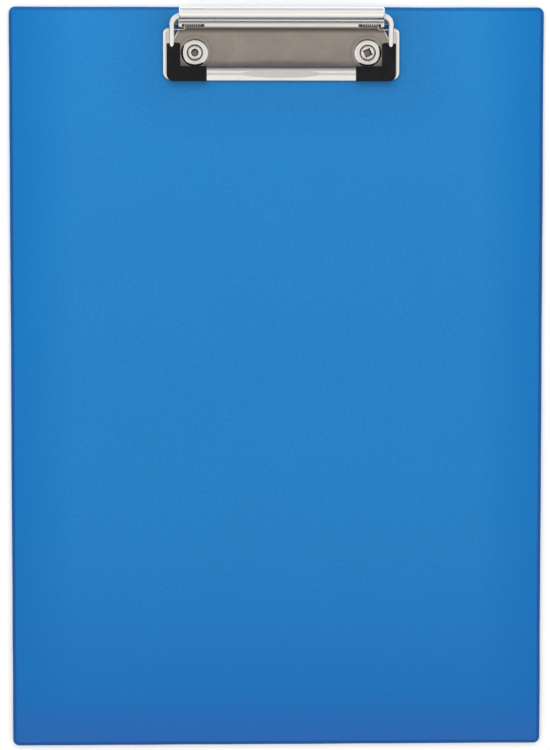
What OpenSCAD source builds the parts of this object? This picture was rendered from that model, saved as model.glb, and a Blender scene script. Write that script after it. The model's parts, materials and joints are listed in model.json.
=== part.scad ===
// Clipboard: a grey-board core between two welded plastic sheets, with a riveted lever clip.
// X runs across the board, Y along it towards the clip, Z up from the face it rests on.
// The origin is the middle of the underside.

/* [Board] */
// Width of the board over its welded edges
board_w = 230; // [200:1:260]
// Length of the board over its welded edges
board_l = 320; // [280:1:360]
// Outer corner radius
corner_r = 2.8; // [2:0.1:8]
// Thickness of the grey-board core
core_t = 1.9; // [1.5:0.1:3]
// Thickness of each plastic sheet
sheet_t = 0.4; // [0.3:0.05:0.6]
// Width of the flat weld round the board
weld_w = 1.2; // [0.8:0.1:2]
// Width of the slope from the weld up to the face
slope_w = 1.4; // [1:0.1:2.5]

/* [Clip on the board] */
// Distance of the clip's middle from the board's middle line, to the right
clip_offset = 1.8; // [-10:0.1:10]
// Distance of the hinge axis from the board's top edge
hinge_inset = 7.5; // [7:0.1:20]
// Distance of each rivet from the base plate's side edge
rivet_inset = 6.9; // [6.8:0.1:15]
// Distance of the rivets from the hinge axis
rivet_to_hinge = 12.2; // [11.5:0.1:13]

/* [Base plate] */
// Thickness of the plate's steel
plate_t = 0.5; // [0.4:0.05:0.8]
// Gap between the plate's front edge and the jaw strip
plate_gap = 0.35; // [0.3:0.05:1]
// Free gap between each barrel end and the lever's arm
end_gap = 2.55; // [1.5:0.05:3.5]
// Thickness of the closed barrel ends
barrel_end_t = 0.6; // [0.4:0.1:0.8]
// Angle at which the rolled edge ends above the plate, from the rear over the top
roll_end_angle = 200; // [190:1:205]
// Length of each spring window along the barrel
window_l = 9.6; // [9:0.1:14]
// Distance from the barrel's end to its window
window_inset = 1.4; // [1:0.1:4]
// Angle at which a window starts, from the rear over the top
window_from = 94; // [80:1:110]
// Angle at which a window ends, below the spring's end that passes through it
window_to = 158; // [157:1:165]
// Length over which the plate widens beside the barrel, towards the grips
tab_slant = 4.6; // [3:0.1:5]
// Height of the lips turned up along the plate's slanted sides
side_lip_h = 1.1; // [0.6:0.1:1.3]
// Radius of the crest of a rivet boss
boss_r = 4.5; // [4.3:0.05:4.8]
// Radius of the rounded bead that forms a boss
bead_r = 1.5; // [1.2:0.05:1.6]

/* [Rivets] */
// Outer diameter of the shank
shank_d = 4; // [3:0.1:4.5]
// Wall of the tubular shank
shank_wall = 0.6; // [0.4:0.05:0.8]
// Diameter of the flat head at the back
head_d = 11; // [8:0.1:13]
// Thickness of the head
head_t = 0.6; // [0.4:0.05:0.8]
// Radius of the rolled end's section
roll_r = 0.75; // [0.5:0.05:0.8]

/* [Hinge pin and springs] */
// Diameter of the hinge pin
pin_d = 1.6; // [1.2:0.1:2]
// Diameter of the pin's peened ends
pin_head_d = 2.3; // [2:0.1:2.4]
// Height of the peened ends
pin_head_h = 0.45; // [0.3:0.05:0.8]
// Diameter of the spring wire
wire_d = 0.5; // [0.4:0.05:0.6]
// Distance from one turn of a spring to the next
spring_pitch = 0.95; // [0.92:0.01:1.05]
// Number of turns in each spring
spring_turns = 7.5; // [5.5:1:7.5]
// Distance from the hinge axis to the tip of the spring's leg on the plate
spring_leg = 2; // [1.8:0.1:5.5]

/* [Lever] */
// Width of the lever over its side strips
lever_w = 102; // [98:0.5:130]
// Thickness of the lever's steel
lever_t = 0.8; // [0.6:0.05:1]
// Distance from the hinge axis to the jaw's front edge
jaw_reach = 24.1; // [24:0.1:30]
// Width of the crowned jaw strip
strip_w = 5.6; // [5:0.1:5.6]
// Height of the strip over the edges of its lips
strip_h = 1.9; // [1.5:0.05:2.2]
// Height of the lips turned down along the strip
strip_lip = 0.7; // [0.3:0.05:0.8]
// Length of the shallow dent in the middle of the strip
dent_l = 34; // [10:1:50]
// Depth of the dent
dent_depth = 0.4; // [0.1:0.05:0.45]
// Width of a side strip, from its outer edge to the middle of the arm
side_w = 4.05; // [3.8:0.05:6]
// Distance from the hinge axis to the side strips' rear edge
shoulder_inset = 1.5; // [1.5:0.05:4]
// Outer bend radius of the rim that is turned down
rim_r = 1.4; // [1.1:0.05:1.5]
// Corner radius of the lever at the jaw
front_r = 3.6; // [3:0.1:6]
// Corner radius of the lever at the shoulders
rear_r = 2.6; // [2:0.1:2.9]
// Diameter of the hem along the top of each arm
arm_d = 2.3; // [1.2:0.05:2.4]
// Distance from the hinge axis to the arms' front end
arm_start = 9.6; // [9:0.1:14]
// Radius at which an arm turns into the thumb bar
arm_bend_r = 4; // [3:0.1:5]
// Distance from the thumb bar's middle forward to where the arms meet it
arm_meet = 1.2; // [0:0.1:1.3]
// Distance from the thumb bar's middle down to where the arms meet it
arm_drop = 0.8; // [0:0.1:1]
// Depth of the wall below the hem where the arm turns
arm_wall = 1.9; // [1.5:0.1:2]
// Diameter of the rolled thumb bar
bar_d = 5.4; // [4.8:0.1:5.6]
// Distance from the hinge axis back to the middle of the thumb bar
bar_reach = 4.3; // [4:0.1:4.6]
// Angle through which the jaw opens before the thumb bar meets the board
open_angle = 45; // [35:1:50]

/* [Corner grips] */
// Thickness of the pad between the lever and the board
pad_t = 1.2; // [1:0.05:1.6]
// Height of a grip above the flat of the lever
grip_rise = 1.15; // [0.9:0.05:2]
// Length of a grip along the jaw strip, from the lever's outer edge
grip_along = 19; // [14:0.5:24]
// Distance from the hinge axis to a grip's rear end
grip_top = 8.3; // [8:0.1:12]
// Width of the lever's rim that stays bare outside a grip
rim_bare = 1.8; // [1.5:0.05:2.5]
// Plastic in front of the strip's front edge
grip_wrap = 0.3; // [0.2:0.05:0.6]
// Corner radius of a grip
grip_r = 2.8; // [1.5:0.1:3.5]
// Rounding of a grip's upper edges
grip_edge = 0.5; // [0.2:0.05:0.5]

/* [Hidden] */
$fn = 96;

// Clearances
core_gap = 0.1;        // core's edge to the sheets' slope
hole_gap = 0.1;        // rivet shank in its holes
head_sink = 0.05;      // rivet head below the back face
head_gap = 0.2;        // rivet head in its dimple
spring_gap = 0.1;      // coil to the pin, to the barrel and to the plate
pin_running = 0.05;    // pin in the barrel's closed ends
pin_seat = 0.02;       // pin in the lever's ears
jaw_gap = 0.05;        // closed grips to the board
lip_gap = 0.4;         // steel lips to the board
body_gap = 0.3;        // moving steel to the fixed pieces
pad_side_gap = 0.4;    // grip pads to the base plate's side edges
tang_gap = 0.1;        // spring's end to the lever's arm
big = 200;             // larger than any piece that is cut

// Board
board_t = core_t + 2 * sheet_t;
mid_z = board_t / 2;
border = weld_w + slope_w;
edge_break = 0.08;     // the sheets' outer edge is a little blunt
overlap = 0.4;         // how far joined shapes run into each other

// Hinge: everything of the clip is drawn round its axis
pin_r = pin_d / 2;
bore_r = pin_r + 2 * spring_gap + wire_d;
barrel_r = bore_r + plate_t;
face_z = -barrel_r;    // the board's face
plate_z = face_z + plate_t;
ear_r = barrel_r - body_gap;

// Lever
cheek_x = lever_w / 2 - side_w;
cheek_in = cheek_x - lever_t / 2;
plate_half = cheek_in - end_gap;
plate_reach = jaw_reach - strip_w - plate_gap;
rivet_x = plate_half - rivet_inset;
lip_z = face_z + lip_gap;
flat_z = face_z + jaw_gap + pad_t;
flat_top = flat_z + lever_t;
bar_r = bar_d / 2;
bar_rise = (face_z + body_gap + bar_r + bar_reach * sin(open_angle)) / cos(open_angle);
turn_lap = 0.3;        // how far the straight of an arm runs into its turn
turn_proud = 0.03;     // the turn is a little thicker than the straight
bar_end = 0.8;         // thumb bar's end beyond the arm's turn
bar_cap = bar_end + overlap;
bar_chamfer = 0.5;
bar_half = cheek_x - arm_bend_r + bar_end;
crown_h = strip_h - strip_lip;
strip_r = (strip_w * strip_w / 4 + crown_h * crown_h) / (2 * crown_h);
strip_y = -jaw_reach + strip_w / 2;
strip_half = lever_w / 2 - front_r;
dent_r = (dent_l * dent_l / 4 + dent_depth * dent_depth) / (2 * dent_depth);

// Grips
grip_lap = 0.7;        // how far a grip reaches in over the plate's edge
strip_lap = 0.5;       // how far a grip reaches over the strip's inner edge
grip_in = plate_half - grip_lap;
grip_out = lever_w / 2 - rim_bare;
grip_end = lever_w / 2 - grip_along;
grip_front = -jaw_reach - grip_wrap;
grip_z = flat_top + grip_rise;
grip_inner_y = -jaw_reach + strip_w + strip_lap;
pad_in = plate_half + pad_side_gap;
pad_inner_y = -plate_reach - body_gap;
small_r = 0.5;         // radius of a grip's other corners

// The plate's side tabs, clear of the lever's ears and of the grips
tab_out = cheek_in - body_gap;
tab_rear = -barrel_r;
tab_knee = tab_rear - tab_slant;
tab_front = -grip_top + body_gap;

// Springs
coil_r = pin_r + spring_gap + wire_d / 2;
wire_sides = 6;
rings_per_turn = 8;
coil_l = spring_turns * spring_pitch;
window_x = plate_half - window_inset - window_l / 2;
coil_x = window_x - coil_l / 2;
tang_y = -barrel_r - body_gap - wire_d / 2;
tang_bend = 0.6;       // radius at which the wire turns towards the arm
tang_hole_d = wire_d + 0.3;

steel = "gainsboro";

// ---- placing and sweeping

// Moves clip shapes from the hinge axis to their place on the board
module at_hinge() {
    translate([clip_offset, board_l / 2 - hinge_inset, board_t + barrel_r]) children();
}

// Extrudes a (y, z) profile along X
module along_x(length) {
    rotate([90, 0, 90]) linear_extrude(height = length, center = true) children();
}

// The shape and its mirror image
module both_sides() {
    children();
    mirror([1, 0, 0]) children();
}

// Puts a shape at each rivet
module at_rivets() {
    for (side = [-1, 1])
        translate([side * rivet_x, -rivet_to_hinge, 0]) children();
}

// A plate with round corners
module round_plate(w, l, r, t) {
    linear_extrude(height = t) {
        square([w - 2 * r, l], center = true);
        square([w, l - 2 * r], center = true);
        for (x = [-1, 1], y = [-1, 1])
            translate([x * (w / 2 - r), y * (l / 2 - r)]) circle(r);
    }
}

// Sweeps a profile round a rectangle with round corners; the profile's x is the distance inwards
module around(w, l, r) {
    for (a = [0 : 90 : 270]) {
        half = a % 180 == 0 ? w / 2 : l / 2;
        run = (a % 180 == 0 ? l : w) - 2 * r;
        rotate([0, 0, a]) {
            rotate([90, 0, 0]) linear_extrude(height = run, center = true)
                translate([half, 0]) mirror([1, 0]) children();
            translate([half - r, run / 2, 0]) rotate_extrude(angle = 90) intersection() {
                translate([r, 0]) mirror([1, 0]) children();
                translate([0, -big / 2]) square([big, big]);
            }
        }
    }
}

// A wedge from the centre between two angles
module wedge(from, to, r) {
    steps = 8;
    rim = [for (i = [0 : steps]) let (a = from + (to - from) * i / steps) [r * cos(a), r * sin(a)]];
    polygon(concat([[0, 0]], rim));
}

// ---- board

// Upper sheet: flat over the core, sloping down to its half of the weld
module sheet_shell() {
    inset = border + core_gap;
    translate([0, 0, board_t - sheet_t])
        round_plate(board_w - 2 * border, board_l - 2 * border, max(corner_r - border, small_r / 2), sheet_t);
    around(board_w, board_l, corner_r)
        polygon([[0, mid_z], [0, mid_z + sheet_t - edge_break], [edge_break, mid_z + sheet_t],
                 [weld_w, mid_z + sheet_t], [border, board_t], [inset + overlap, board_t],
                 [inset + overlap, board_t - sheet_t], [inset, board_t - sheet_t],
                 [weld_w + sheet_t / 2, mid_z]]);
}

// Cuts a round hole at each rivet, given in the board's own frame
module rivet_cut(r, z0, z1) {
    translate([clip_offset, board_l / 2 - hinge_inset, z0]) at_rivets() cylinder(r = r, h = z1 - z0);
}

dimple_z = head_sink + head_t;
dimple_r = head_d / 2 + head_gap;

module core_board() {
    inset = border + core_gap + sheet_t / 4;
    color("darkgray") difference() {
        translate([0, 0, sheet_t]) round_plate(board_w - 2 * inset, board_l - 2 * inset, small_r, core_t);
        rivet_cut(shank_d / 2 + hole_gap, -1, board_t + 1);
        rivet_cut(dimple_r + sheet_t + hole_gap, 0, dimple_z + sheet_t);
    }
}

module front_cover() {
    color("dodgerblue") difference() {
        sheet_shell();
        rivet_cut(shank_d / 2 + hole_gap, -1, board_t + 1);
    }
}

module back_cover() {
    color("dodgerblue") difference() {
        union() {
            translate([0, 0, board_t]) mirror([0, 0, 1]) sheet_shell();
            rivet_cut(dimple_r + sheet_t, 0, dimple_z + sheet_t);
        }
        rivet_cut(dimple_r, -1, dimple_z);
        rivet_cut(shank_d / 2 + hole_gap, -1, board_t + 1);
    }
}

// ---- base plate, rivets

module barrel_profile() {
    difference() {
        circle(barrel_r);
        circle(bore_r);
        wedge(roll_end_angle, 270, 2 * barrel_r);
    }
    translate([-plate_reach, face_z]) square([plate_reach, plate_t]);
}

// Tab beside the barrel's right end: it widens towards the grip, with a lip turned up along its slant
module side_tab() {
    translate([0, 0, face_z]) {
        linear_extrude(height = plate_t)
            polygon([[plate_half - overlap, tab_rear], [plate_half, tab_rear], [tab_out, tab_knee],
                     [tab_out, tab_front], [plate_half - overlap, tab_front]]);
        linear_extrude(height = plate_t + side_lip_h)
            polygon([[plate_half - plate_t, tab_rear], [plate_half, tab_rear],
                     [tab_out, tab_knee], [tab_out - plate_t, tab_knee]]);
    }
}

module clip_base_plate() {
    color(steel) at_hinge() difference() {
        union() {
            along_x(2 * plate_half) barrel_profile();
            both_sides() {
                translate([plate_half - barrel_end_t / 2, 0, 0]) along_x(barrel_end_t) circle(barrel_r);
                side_tab();
            }
            at_rivets() translate([0, 0, face_z]) rotate_extrude() intersection() {
                translate([boss_r, 0]) circle(bead_r);
                square([big, bead_r]);
            }
        }
        along_x(big) circle(pin_r + pin_running);
        both_sides() translate([window_x, 0, 0]) along_x(window_l)
            wedge(window_from, window_to, 2 * barrel_r);
        at_rivets() {
            translate([0, 0, face_z]) rotate_extrude() translate([boss_r, 0]) circle(bead_r - plate_t);
            translate([0, 0, face_z - 1]) cylinder(r = shank_d / 2 + hole_gap, h = barrel_r);
        }
    }
}

// Tubular rivet: flat head at the back, shank, and the end rolled over on the plate
module rivet(side) {
    roll_z = board_t + plate_t + roll_r;
    bore = shank_d / 2 - shank_wall;
    color(steel) at_hinge() translate([side * rivet_x, -rivet_to_hinge, -board_t - barrel_r])
        rotate_extrude() {
            translate([0, head_sink]) square([head_d / 2, head_t]);
            translate([bore, head_sink]) square([shank_wall, roll_z - head_sink]);
            translate([bore + roll_r, roll_z]) circle(roll_r);
        }
}

module rivet_left() rivet(-1);

module rivet_right() rivet(1);

// ---- springs

// Centre line of the right spring's wire: leg on the plate, coil, then the tang towards the arm
function coil_point(turn) = let (a = 270 + 360 * turn)
    [coil_x + spring_pitch * turn, coil_r * cos(a), coil_r * sin(a)];
coil_steps = spring_turns * rings_per_turn;
coil_points = [for (i = [0 : coil_steps]) coil_point(i / rings_per_turn)];
tang_x = coil_x + coil_l;
bend_steps = 4;
wire_line = concat(
    [[coil_x, -spring_leg, -coil_r], [coil_x, -spring_leg / 2, -coil_r]],
    coil_points,
    [for (i = [0 : bend_steps]) let (a = 90 * i / bend_steps)
        [tang_x + tang_bend * (1 - cos(a)), tang_y + tang_bend * (1 - sin(a)), coil_r]],
    [[cheek_in - tang_gap, tang_y, coil_r]]);

function unit(v) = v / norm(v);
function tangent(line, i) = unit(line[min(i + 1, len(line) - 1)] - line[max(i - 1, 0)]);
function turned(side, dir) = unit(side - (side * dir) * dir);

// One unbroken tube along a line, its sections carried on from one point to the next without twist
module wire(line) {
    last = len(line) - 1;
    sides = [for (i = 0, s = turned([0, 0, 1], tangent(line, 0)); i <= last;
                  i = i + 1, s = turned(s, tangent(line, min(i, last)))) s];
    points = [for (i = [0 : last]) let (s = sides[i], t = cross(tangent(line, i), s))
              for (k = [0 : wire_sides - 1]) let (a = 360 * k / wire_sides)
              line[i] + wire_d / 2 * (cos(a) * s + sin(a) * t)];
    skin = [for (i = [0 : last - 1], k = [0 : wire_sides - 1], half = [0, 1])
            let (k2 = (k + 1) % wire_sides, p = i * wire_sides, q = p + wire_sides)
            half == 0 ? [p + k, q + k, q + k2] : [p + k, q + k2, p + k2]];
    caps = [[for (k = [0 : wire_sides - 1]) k],
            [for (k = [wire_sides - 1 : -1 : 0]) last * wire_sides + k]];
    polyhedron(points = points, faces = concat(skin, caps));
}

// Least gap between one turn of the wire and the next, on the points of the coil
half_turn = rings_per_turn / 2;
spring_free = min([for (i = [0 : coil_steps - half_turn - 1], j = [i + half_turn + 1 : 1 : coil_steps])
                   norm(coil_points[i] - coil_points[j])]) - wire_d;
echo("least gap between the spring's turns, mm", spring_free);

module spring_right() {
    color("silver") at_hinge() wire(wire_line);
}

module spring_left() {
    color("silver") at_hinge() mirror([1, 0, 0]) wire(wire_line);
}

// ---- lever

// Section of the rim: the steel bends down from the flat and ends just above the board
module rim_profile() {
    intersection() {
        translate([rim_r, flat_top - rim_r]) difference() {
            circle(rim_r);
            circle(rim_r - lever_t);
        }
        translate([0, flat_top - rim_r]) square(rim_r);
    }
    translate([rim_r, flat_z]) square([overlap, lever_t]);
    translate([0, lip_z]) square([lever_t, flat_top - rim_r - lip_z]);
}

// The rim down the right side and round its two corners
module side_rim() {
    side = lever_w / 2;
    front_y = -jaw_reach + front_r;
    rear_y = -shoulder_inset - rear_r;
    translate([side, (front_y + rear_y) / 2, 0]) rotate([90, 0, 0])
        linear_extrude(height = rear_y - front_y, center = true) mirror([1, 0]) rim_profile();
    translate([side - front_r, front_y, 0]) rotate([0, 0, -90]) rotate_extrude(angle = 90)
        translate([front_r, 0]) mirror([1, 0]) rim_profile();
    translate([side - rear_r, rear_y, 0]) rotate_extrude(angle = 90)
        translate([rear_r, 0]) mirror([1, 0]) rim_profile();
    translate([(cheek_in + side - rear_r) / 2, -shoulder_inset, 0]) along_x(side - rear_r - cheek_in)
        mirror([1, 0]) rim_profile();
}

// The flat between the rim and the arm, with the rim's corners inside it
module side_flat() {
    x1 = lever_w / 2 - rim_r;
    y0 = -jaw_reach + rim_r;
    y1 = -shoulder_inset - rim_r;
    front = front_r - rim_r;
    rear = rear_r - rim_r;
    translate([0, 0, flat_z]) linear_extrude(height = lever_t) {
        translate([cheek_in, y0 + front]) square([x1 - cheek_in, y1 - rear - y0 - front]);
        translate([cheek_in, y0]) square([x1 - front - cheek_in, y1 - y0]);
        translate([cheek_in, y1 - rear - overlap]) square([x1 - rear - cheek_in, rear + overlap]);
        translate([x1 - front, y0 + front]) circle(front);
        translate([x1 - rear, y1 - rear]) circle(rear);
    }
}

// The crowned strip between the corners, with lips turned down along it, dented in its middle
module jaw_strip() {
    difference() {
        along_x(2 * (strip_half + overlap)) {
            intersection() {
                translate([strip_y, lip_z + strip_h - strip_r]) difference() {
                    circle(strip_r);
                    circle(strip_r - lever_t);
                }
                translate([-jaw_reach, lip_z + strip_lip]) square([strip_w, strip_h]);
            }
            for (edge = [-jaw_reach, -jaw_reach + strip_w - lever_t])
                translate([edge, lip_z]) square([lever_t, strip_lip]);
        }
        translate([0, strip_y, lip_z + strip_h - dent_depth + dent_r]) rotate([90, 0, 0])
            cylinder(r = dent_r, h = 2 * strip_w, center = true, $fn = 720);
    }
}

module jaw_frame() {
    jaw_strip();
    both_sides() {
        side_rim();
        side_flat();
    }
}

// Right arm: the ear on the pin, the cheek up to its hem, and the turn into the thumb bar
module arm() {
    start = [-arm_start, flat_top];
    end = [bar_reach - arm_meet, bar_rise - arm_drop];
    slope = atan2(end[1] - start[1], end[0] - start[0]);
    along = [cos(slope), sin(slope)];
    down = [sin(slope), -cos(slope)];
    turn = end - arm_bend_r * along;
    top = turn + turn_lap * along;
    translate([cheek_x, 0, 0]) {
        along_x(lever_t) difference() {
            union() {
                polygon([[start[0], flat_z], start, top, top + arm_wall * down,
                         [ear_r, 0], [-ear_r, flat_z]]);
                circle(ear_r);
            }
            circle(pin_r + pin_seat);
            translate([tang_y, coil_r]) circle(tang_hole_d / 2);
        }
        translate([0, start[0], start[1]]) rotate([slope - 90, 0, 0])
            cylinder(d = arm_d, h = norm(top - start));
    }
    translate([cheek_x - arm_bend_r, turn[0], turn[1]]) rotate([slope, 0, 0]) rotate_extrude(angle = 90)
        translate([arm_bend_r, 0]) {
            circle(arm_d / 2 + turn_proud);
            translate([-lever_t / 2 - turn_proud, -arm_wall - turn_proud])
                square([lever_t + 2 * turn_proud, arm_wall + turn_proud]);
        }
}

// Thumb bar: the steel rolled into a tube, its seam below, with closed ends
module thumb_bar() {
    translate([0, bar_reach, bar_rise]) {
        along_x(2 * (bar_half - bar_cap) + overlap) difference() {
            circle(bar_r);
            circle(bar_r - lever_t);
            wedge(240, 262, bar_d);
        }
        both_sides() translate([bar_half - bar_cap, 0, 0]) rotate([0, 90, 0]) {
            cylinder(r = bar_r, h = bar_cap - bar_chamfer);
            translate([0, 0, bar_cap - bar_chamfer])
                cylinder(r1 = bar_r, r2 = bar_r - bar_chamfer, h = bar_chamfer);
        }
    }
}

module lever_solid() {
    jaw_frame();
    both_sides() arm();
    thumb_bar();
}

module lever_jaw() {
    color(steel) at_hinge() lever_solid();
}

// Pin through the ears and the barrel, peened over at both ends
module hinge_pin() {
    outer = cheek_x + lever_t / 2;
    color("gray") at_hinge() {
        along_x(2 * outer + pin_head_h) circle(pin_r);
        both_sides() translate([outer, 0, 0]) rotate([0, 90, 0])
            cylinder(r1 = pin_head_d / 2, r2 = pin_head_d / 2 - pin_head_h / 2, h = pin_head_h);
    }
}

// ---- corner grips

// A block with round corners and rounded upper edges; its outer front corner has the radius r_out
module grip_leg(x0, x1, y0, y1) {
    levels = [[0, 0], [grip_z - flat_z - grip_edge, 0], [grip_z - flat_z - grip_edge * 0.3, grip_edge * 0.3],
              [grip_z - flat_z, grip_edge * 0.95]];
    corners = [[x0, y0, small_r, 1, 1], [x1, y0, grip_r, -1, 1],
               [x0, y1, small_r, 1, -1], [x1, y1, small_r, -1, -1]];
    hull() for (c = corners, level = levels)
        translate([c[0] + c[3] * c[2], c[1] + c[4] * c[2], flat_z + level[0]])
            cylinder(r = c[2] - level[1], h = 0.001, $fn = 32);
}

// Right grip round the lever's corner; the lever's own steel is cut out of it
module grip_right() {
    pad_z = face_z + jaw_gap;
    difference() {
        union() {
            grip_leg(grip_in, grip_out, grip_front, -grip_top);
            grip_leg(grip_end, grip_out, grip_front, grip_inner_y);
            translate([0, 0, pad_z]) linear_extrude(height = pad_t + overlap) {
                translate([grip_end, grip_front])
                    square([grip_out - grip_r - grip_end, pad_inner_y - grip_front]);
                translate([pad_in, grip_front + grip_r])
                    square([grip_out - pad_in, -grip_top - grip_front - grip_r]);
                translate([grip_out - grip_r, grip_front + grip_r]) circle(grip_r);
            }
        }
        jaw_frame();
        arm();
    }
}

module corner_grip_right() {
    color("dimgray") at_hinge() grip_right();
}

module corner_grip_left() {
    color("dimgray") at_hinge() mirror([1, 0, 0]) grip_right();
}

core_board();
front_cover();
back_cover();
clip_base_plate();
rivet_left();
rivet_right();
spring_left();
spring_right();
lever_jaw();
hinge_pin();
corner_grip_left();
corner_grip_right();
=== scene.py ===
"""Sheet-covered clipboard with a riveted lever clip: finishes, fine meshes and studio for its solids."""

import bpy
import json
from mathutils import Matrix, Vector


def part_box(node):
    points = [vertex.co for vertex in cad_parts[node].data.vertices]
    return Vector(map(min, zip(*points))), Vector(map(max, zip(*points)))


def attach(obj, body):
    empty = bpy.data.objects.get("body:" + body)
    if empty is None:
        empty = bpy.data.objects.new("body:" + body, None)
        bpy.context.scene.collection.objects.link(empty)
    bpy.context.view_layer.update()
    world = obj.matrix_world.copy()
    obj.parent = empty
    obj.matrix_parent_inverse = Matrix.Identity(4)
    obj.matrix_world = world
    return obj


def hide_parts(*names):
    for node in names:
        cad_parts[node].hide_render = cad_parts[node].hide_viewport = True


bl_info = {
    "name": "Sheet-covered clipboard",
    "version": (1, 0, 0),
    "blender": (4, 5, 0),
    "location": "View3D > Sidebar > Clipboard",
    "description": "Builds the covers, the clip and the studio of a sheet-covered clipboard",
    "category": "Object",
}

import json
import math

import bmesh
import bpy
from bpy.props import FloatProperty, FloatVectorProperty, IntProperty, PointerProperty
from mathutils import Matrix, Vector, noise

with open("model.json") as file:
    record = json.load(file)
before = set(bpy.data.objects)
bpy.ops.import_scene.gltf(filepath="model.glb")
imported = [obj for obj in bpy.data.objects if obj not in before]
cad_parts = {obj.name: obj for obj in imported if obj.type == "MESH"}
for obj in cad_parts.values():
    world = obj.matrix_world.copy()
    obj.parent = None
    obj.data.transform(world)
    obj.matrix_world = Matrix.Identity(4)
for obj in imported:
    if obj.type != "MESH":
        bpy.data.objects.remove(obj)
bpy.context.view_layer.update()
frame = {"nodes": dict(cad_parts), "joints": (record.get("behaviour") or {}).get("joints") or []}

MM = 0.001
SIDES = {"left": -1, "right": 1}
HINGE = Vector(frame["joints"][0]["pos_m"])
BOARD_LO, BOARD_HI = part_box("back_cover")[0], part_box("front_cover")[1]
SEAM_Z, FACE_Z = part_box("front_cover")[0].z, BOARD_HI.z
WHITE = (1.0, 1.0, 1.0, 1.0)


# ---- properties

def length(name, text, default, low=0.0):
    return FloatProperty(name=name, description=text, default=default, subtype="DISTANCE", unit="LENGTH",
                         precision=5, min=low)


def angle(name, text, default):
    return FloatProperty(name=name, description=text, default=math.radians(default), subtype="ANGLE")


def share(name, text, default, top=1.0):
    return FloatProperty(name=name, description=text, default=default, min=0.0, max=top, subtype="FACTOR")


def colour(name, text, default):
    return FloatVectorProperty(name=name, description=text, default=default, size=3, min=0.0, max=1.0,
                               subtype="COLOR")


class ClipboardCoverSettings(bpy.types.PropertyGroup):
    corner: length("Corner radius", "Radius of the cover's outer corners", 2.8 * MM)
    sheet: length("Sheet", "Thickness of one plastic sheet", 0.4 * MM)
    weld: length("Weld", "Width of the flat weld round the board", 1.2 * MM)
    slope: length("Slope", "Width of the slope from the weld up to the face", 1.4 * MM)
    groove: length("Groove", "Depth of the line that the welding bar leaves", 0.12 * MM)
    sway: length("Sway", "How far the trimmed edge wanders inwards", 0.22 * MM)
    lift: length("Lift", "How far the weld waves up and down", 0.09 * MM)
    shank_hole: length("Rivet hole", "Radius of the holes for the rivets' shanks", 2.1 * MM)
    dimple: length("Dimple", "Radius of the dimples for the rivets' heads", 5.7 * MM)
    dimple_depth: length("Dimple depth", "Depth of the dimples for the rivets' heads", 0.65 * MM)
    tint: colour("Sheet colour", "Colour of the plastic sheet", (0.0085, 0.207, 0.545))
    # painted shade: the colour that the board's lower half is painted darker to
    foot_shade: colour("Foot colour", "Colour that the sheet tends to in the board's lower half",
                      (0.0, 0.131, 0.447))
    # painted shade: the colour that the sheet is painted darker to along its lower edge
    hem_shade: colour("Hem colour", "Colour that the sheet tends to along its lower edge", (0.016, 0.119, 0.42))
    hem_zone: length("Hem zone", "Distance from the lower edge where the hem colour begins", 22 * MM)
    # painted shade: the colour that the sheet is painted darker to along its left and right edges
    side_shade: colour("Side colour", "Colour that the sheet tends to along its left and right edges",
                      (0.0, 0.168, 0.485))
    side_zone: length("Side zone", "Distance from the side edges where the side colour begins", 28 * MM)
    side_full: length("Side margin", "Distance from the side edges where the side colour is full", 5 * MM)
    # painted shadow: how much darker the sheet is painted round the clip, and how far that reaches
    clip_shadow: share("Soiling", "How much darker handling has made the sheet next to the clip", 0.11)
    clip_shadow_zone: length("Soiled zone", "Distance from the clip where the soiling ends", 28 * MM)
    weld_tint: colour("Weld colour", "Colour where heat has pressed the sheets together", (0.003, 0.085, 0.29))
    sheen: share("Sheen", "Specular level of the plastic sheet", 0.22)
    grain: length("Grain", "Distance from one pip of the embossed grain to the next", 0.42 * MM)


class ClipboardMetalSettings(bpy.types.PropertyGroup):
    nickel: colour("Nickel", "Colour of the bright nickel plate", (0.82, 0.80, 0.765))
    # partly a duller finish, partly painted reflection of the dark overhead that the flat mirrors
    dull_nickel_and_shade: colour("Dull nickel", "Colour of the base plate's flat, duller than its pressed forms",
                        (0.39, 0.345, 0.30))
    wire: colour("Wire", "Colour of the drawn spring wire and the pin", (0.50, 0.49, 0.48))
    # painted shade: the colour painted into the clip's seams, its bores and under the thumb bar
    painted_shade: colour("Grime", "Colour of the oil and dust in the clip's seams", (0.10, 0.082, 0.072))
    polish: share("Roughness", "Roughness of the plated steel", 0.18)
    rubbed: share("Rubbed roughness", "Roughness of the thumb bar, rubbed by hands", 0.36)
    bar: length("Bar radius", "Radius of the rolled thumb bar", 2.7 * MM)
    bar_half: length("Bar half length", "Half the length of the thumb bar", 43.75 * MM)
    barrel: length("Barrel radius", "Radius of the base plate's hinge barrel", 2.0 * MM)
    # painted shadow: radius of a dark ring painted round each rivet's boss
    mark: length("Press mark", "Radius of the mark that the riveting press leaves on the plate", 7.3 * MM)
    plate: length("Plate", "Thickness of the base plate's steel", 0.5 * MM)
    blunt: length("Blunt edge", "Radius at which the plated steel's edges catch the light", 0.12 * MM)
    roll: length("Rolled end", "Radius of the section of a rivet's rolled end", 0.75 * MM)
    bore: length("Bore", "Radius of a rivet's bore", 1.4 * MM)
    shank: length("Shank", "Radius of a rivet's shank", 2.0 * MM)
    head: length("Head", "Thickness of a rivet's flat head", 0.6 * MM)
    petals: IntProperty(name="Petals", description="Splits in the right rivet's rolled end", default=4, min=2,
                        max=12)
    slit: length("Slit", "Depth of the splits in the right rivet's rolled end", 0.55 * MM)
    wire_width: length("Wire width", "Diameter of the spring wire", 0.5 * MM)
    coil: length("Coil radius", "Radius of a spring's turns, to the wire's middle", 1.15 * MM)
    pitch: length("Pitch", "Distance from one turn of a spring to the next", 0.95 * MM)
    turns: FloatProperty(name="Turns", description="Turns in each spring", default=7.5, min=1.0, max=12.0)
    leg: length("Leg", "Distance from the hinge axis to the tip of the spring's leg on the plate", 2.0 * MM)


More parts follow.
